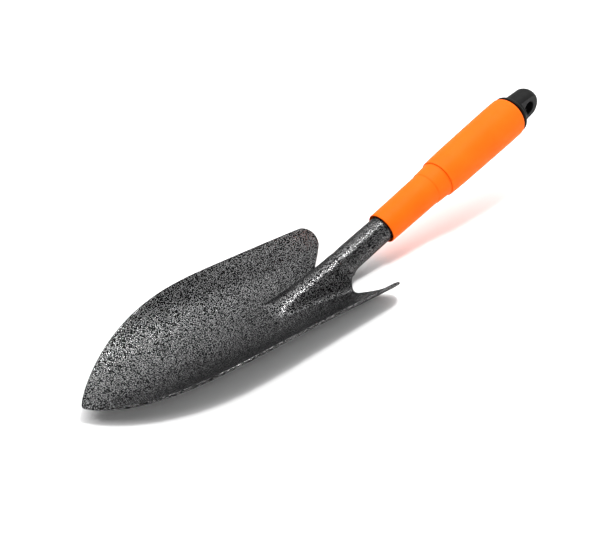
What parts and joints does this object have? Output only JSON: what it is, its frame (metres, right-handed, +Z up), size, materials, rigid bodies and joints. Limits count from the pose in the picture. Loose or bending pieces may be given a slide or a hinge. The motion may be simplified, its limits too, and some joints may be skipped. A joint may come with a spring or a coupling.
{
  "type": "hand trowel",
  "caption": "Hand trowel with a pressed steel scoop, a ridge rolled into a neck, a soft two-part grip and a black end cap with a hanging eye.",
  "frame": {"origin": "centre of the base of the bounding box, with the trowel resting on its belly, scoop up", "axes": "+X along the blade from its tip towards the handle, +Y across the blade, +Z up out of the scoop"},
  "size_m": [0.3534, 0.0808, 0.0722],
  "materials": {
    "hammered_paint": "charcoal and silver hammered powder coat, semi-gloss",
    "orange_rubber": "satin soft-touch, bright orange",
    "black_plastic": "satin moulded black",
    "core_plastic": "plain moulded dark plastic, hidden",
    "rivet_steel": "plain steel, hidden"
  },
  "bodies": {
    "root": {"head": "hammered_paint", "handle_core": "core_plastic", "socket_rivet": "rivet_steel", "grip_front_sleeve": "orange_rubber", "grip_barrel": "orange_rubber", "end_cap": "black_plastic"}
  },
  "joints": []
}
